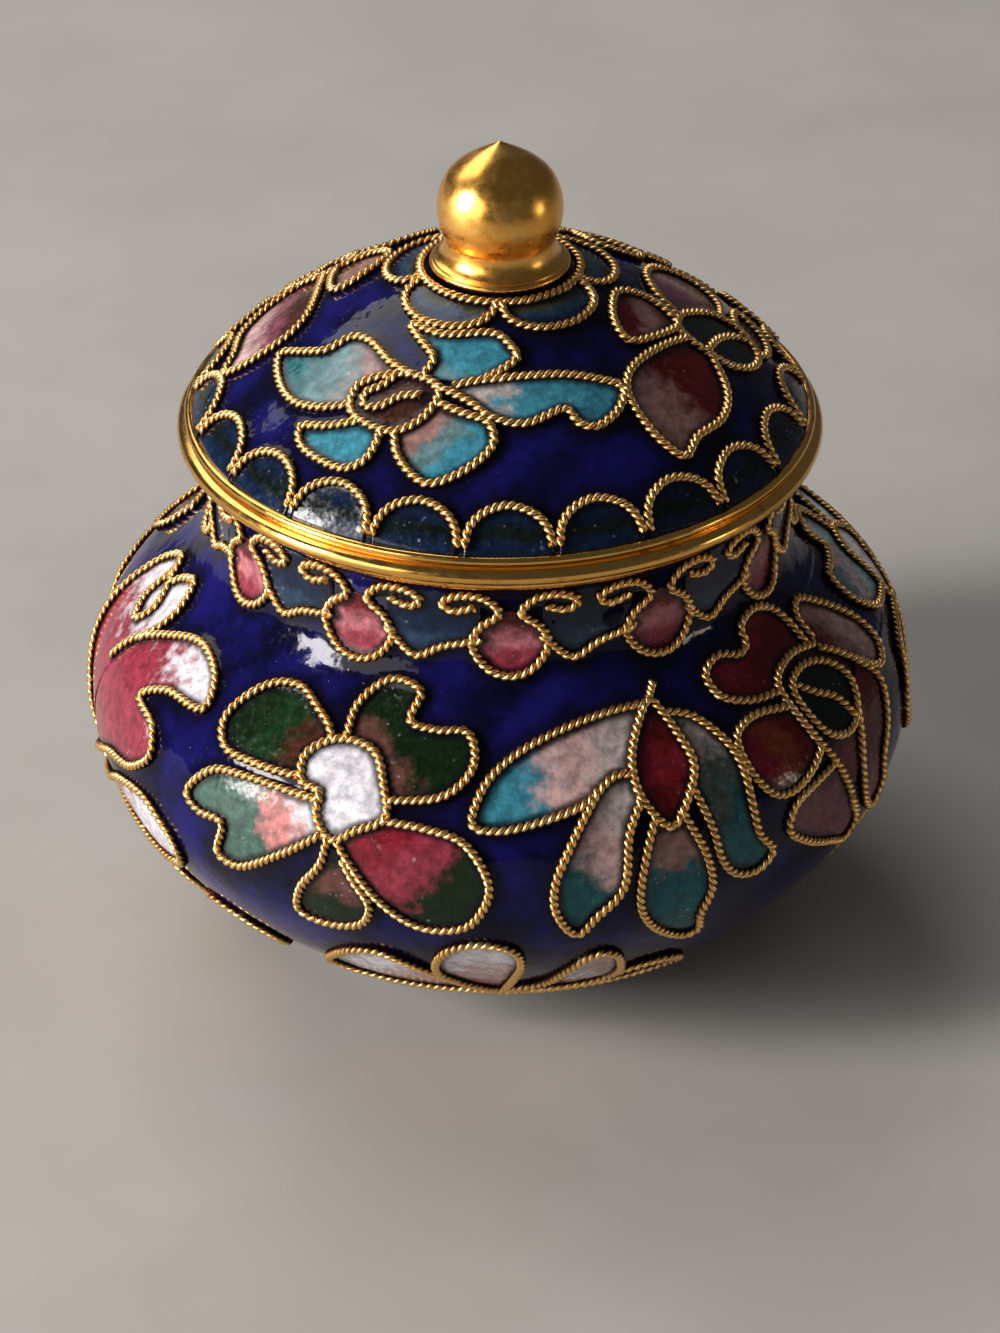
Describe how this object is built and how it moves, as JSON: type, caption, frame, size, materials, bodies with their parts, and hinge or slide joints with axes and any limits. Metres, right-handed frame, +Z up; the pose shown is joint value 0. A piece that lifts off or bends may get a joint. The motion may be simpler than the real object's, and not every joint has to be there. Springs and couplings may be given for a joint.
{
  "type": "lidded enamel pot",
  "caption": "Squat cloisonne enamel pot with a lift-off domed lid, gilt rims, a gilt ball finial and wired flowers on deep blue",
  "frame": {"origin": "centre of the foot ring's underside, where the pot rests", "axes": "+Z up along the pot's axis, -Y towards the front, +X to the right seen from the front"},
  "size_m": [0.0649, 0.0648, 0.0652],
  "materials": {
    "enamel": "gloss",
    "gilt": "satin",
    "gilt_wire": "satin"
  },
  "bodies": {
    "root": {"vessel": "enamel", "lid": "enamel", "foot_ring": "gilt", "mouth_rim": "gilt", "lid_rim": "gilt", "finial": "gilt", "wire_rose_front": "gilt_wire", "wire_iris_front": "gilt_wire", "wire_peony_right": "gilt_wire", "wire_rose_right": "gilt_wire", "wire_iris_back": "gilt_wire", "wire_peony_back": "gilt_wire", "wire_rose_back": "gilt_wire", "wire_blown_rose_left": "gilt_wire", "wire_lid_rose_front": "gilt_wire", "wire_lid_peony_right": "gilt_wire", "wire_lid_peony_left": "gilt_wire", "wire_lid_rose_back": "gilt_wire", "wire_lotus_front": "gilt_wire", "wire_lotus_right": "gilt_wire", "wire_lotus_back": "gilt_wire", "wire_lotus_left": "gilt_wire", "wire_neck_band": "gilt_wire", "wire_scallop_band": "gilt_wire", "wire_collar_band": "gilt_wire"}
  },
  "joints": []
}
